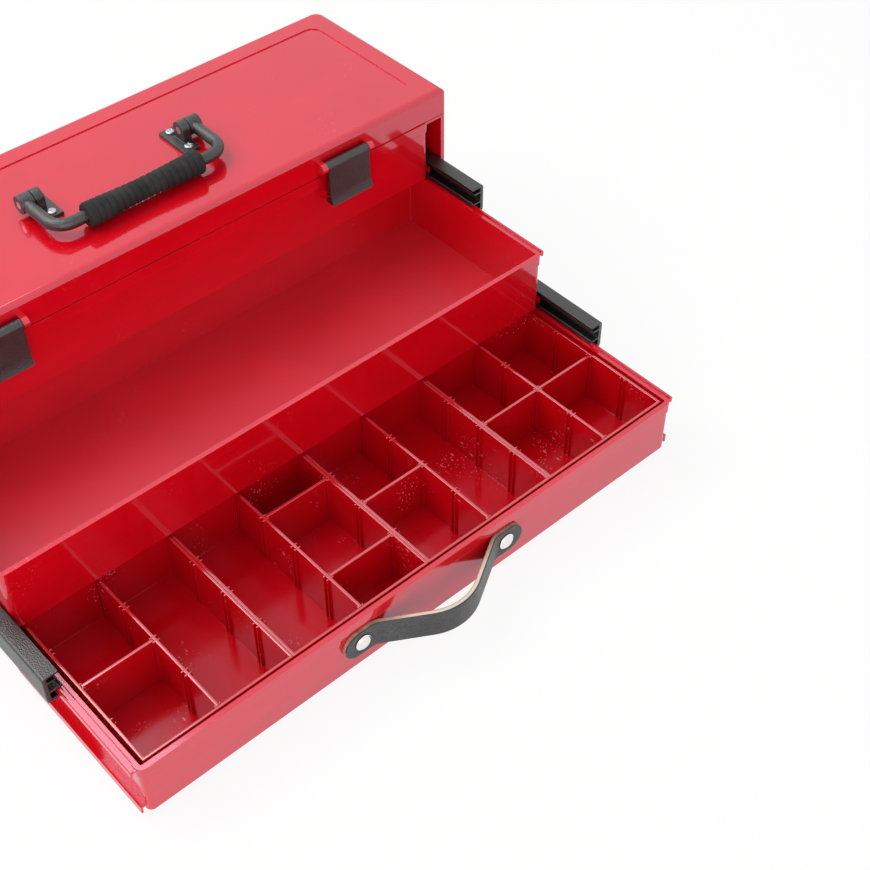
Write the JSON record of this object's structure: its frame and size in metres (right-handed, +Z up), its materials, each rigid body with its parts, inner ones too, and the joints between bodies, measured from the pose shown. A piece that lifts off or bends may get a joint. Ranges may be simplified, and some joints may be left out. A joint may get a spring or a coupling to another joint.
{
  "type": "tool case",
  "caption": "Red cascading tool case with a slotted parts tray and a tool tray drawn out in steps on slide rails under a lidded top box, with a leather pull strap.",
  "frame": {"origin": "middle of the closed case's footprint, on the base's flat underside, which stands on the floor", "axes": "+X to the case's right seen from the front, -Y out of the front, the way the trays are pulled, +Z up"},
  "size_m": [0.4394, 0.4041, 0.1769],
  "materials": {
    "red_plastic": "glossy moulded plastic",
    "red_insert": "glossy moulded plastic, thin walls",
    "black_plastic": "fine-grained matt plastic",
    "black_rubber": "matt rubber",
    "steel": "plain steel",
    "rivet_chrome": "polished",
    "strap_leather": "black face, raw tan edges"
  },
  "bodies": {
    "case_body": {"case_shell": "red_plastic", "top_box": "red_plastic", "hinge_pins": "steel"},
    "lid": {"lid_shell": "red_plastic", "latch_pins": "steel", "handle_brackets": "black_plastic", "bracket_screws": "steel", "handle_pins": "steel"},
    "handle": {"handle_bail": "black_plastic", "handle_grip": "black_rubber"},
    "left_latch": {"latch_left": "black_plastic"},
    "right_latch": {"latch_right": "black_plastic"},
    "left_upper_rail": {"upper_rail_left": "black_plastic"},
    "right_upper_rail": {"upper_rail_right": "black_plastic"},
    "tool_tray": {"tool_tray_shell": "red_plastic"},
    "left_lower_rail": {"lower_rail_left": "black_plastic"},
    "right_lower_rail": {"lower_rail_right": "black_plastic"},
    "parts_tray": {"parts_tray_shell": "red_plastic", "insert_box_1": "red_insert", "long_divider_1": "red_insert", "insert_box_2": "red_insert", "long_divider_2": "red_insert", "insert_box_3": "red_insert", "long_divider_3": "red_insert", "insert_box_4": "red_insert", "long_divider_4": "red_insert", "cross_divider_1_2": "red_insert", "cross_divider_4_1": "red_insert", "cross_divider_4_3": "red_insert", "cross_divider_5_2": "red_insert", "cross_divider_7_2": "red_insert", "cross_divider_8_2": "red_insert", "pull_strap": "strap_leather", "strap_rivets": "rivet_chrome", "rivet_washers": "steel", "tray_glides": "black_rubber"}
  },
  "joints": [
    {"name": "tool_tray_slide", "type": "slide", "parent": "case_body", "child": "tool_tray", "axis": [0, -1, 0], "range_m": [-0.1125, 0]},
    {"name": "left_upper_rail_slide", "type": "slide", "parent": "case_body", "child": "left_upper_rail", "axis": [0, -1, 0], "range_m": [-0.05625, 0]},
    {"name": "right_upper_rail_slide", "type": "slide", "parent": "case_body", "child": "right_upper_rail", "axis": [0, -1, 0], "range_m": [-0.05625, 0]},
    {"name": "parts_tray_slide", "type": "slide", "parent": "tool_tray", "child": "parts_tray", "axis": [0, -1, 0], "range_m": [-0.1212, 0]},
    {"name": "left_lower_rail_slide", "type": "slide", "parent": "tool_tray", "child": "left_lower_rail", "axis": [0, -1, 0], "range_m": [-0.0606, 0]},
    {"name": "right_lower_rail_slide", "type": "slide", "parent": "tool_tray", "child": "right_lower_rail", "axis": [0, -1, 0], "range_m": [-0.0606, 0]},
    {"name": "lid_hinge", "type": "hinge", "parent": "case_body", "child": "lid", "pos_m": [0, 0.0726, 0.1405], "axis": [-1, 0, 0], "range_deg": [0, 105]},
    {"name": "handle_fold", "type": "hinge", "parent": "lid", "child": "handle", "pos_m": [0, 0, 0.1689], "axis": [-1, 0, 0], "range_deg": [0, 100]},
    {"name": "left_latch_swing", "type": "hinge", "parent": "lid", "child": "left_latch", "pos_m": [-0.13, -0.0721, 0.1487], "axis": [-1, 0, 0], "range_deg": [0, 95]},
    {"name": "right_latch_swing", "type": "hinge", "parent": "lid", "child": "right_latch", "pos_m": [0.13, -0.0721, 0.1487], "axis": [-1, 0, 0], "range_deg": [0, 95]}
  ],
  "couplings": [
    {"joint": "left_upper_rail_slide", "follows": "tool_tray_slide", "ratio": 0.5},
    {"joint": "right_upper_rail_slide", "follows": "tool_tray_slide", "ratio": 0.5},
    {"joint": "left_lower_rail_slide", "follows": "parts_tray_slide", "ratio": 0.5},
    {"joint": "right_lower_rail_slide", "follows": "parts_tray_slide", "ratio": 0.5}
  ]
}
